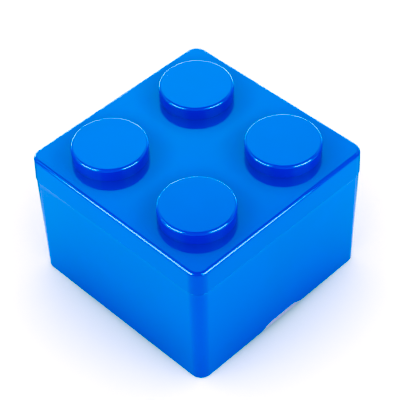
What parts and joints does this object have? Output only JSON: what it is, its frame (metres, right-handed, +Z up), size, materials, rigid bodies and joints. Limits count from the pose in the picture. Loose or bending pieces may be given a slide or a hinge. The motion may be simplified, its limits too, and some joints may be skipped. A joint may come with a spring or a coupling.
{
  "type": "brick shaped storage box",
  "caption": "Square storage bin shaped like a toy building brick, with a lift-off lid that carries round studs and rings under its raised floor that take the studs of the brick below.",
  "frame": {"origin": "middle of the brick in the plane that its foot rim stands on", "axes": "+Z up; front is -Y; the two shallow notches in the foot rim are in the middle of the +X and -X sides"},
  "size_m": [0.1232, 0.1232, 0.0883],
  "materials": {
    "bin_plastic": "high-gloss moulded blue plastic",
    "lid_plastic": "high-gloss moulded blue plastic"
  },
  "bodies": {
    "bin_body": {"bin": "bin_plastic"},
    "lid_body": {"lid": "lid_plastic"}
  },
  "joints": [
    {"name": "lid_lift", "type": "slide", "parent": "bin_body", "child": "lid_body", "axis": [0, 0, 1], "range_m": [0, 0.12]}
  ]
}
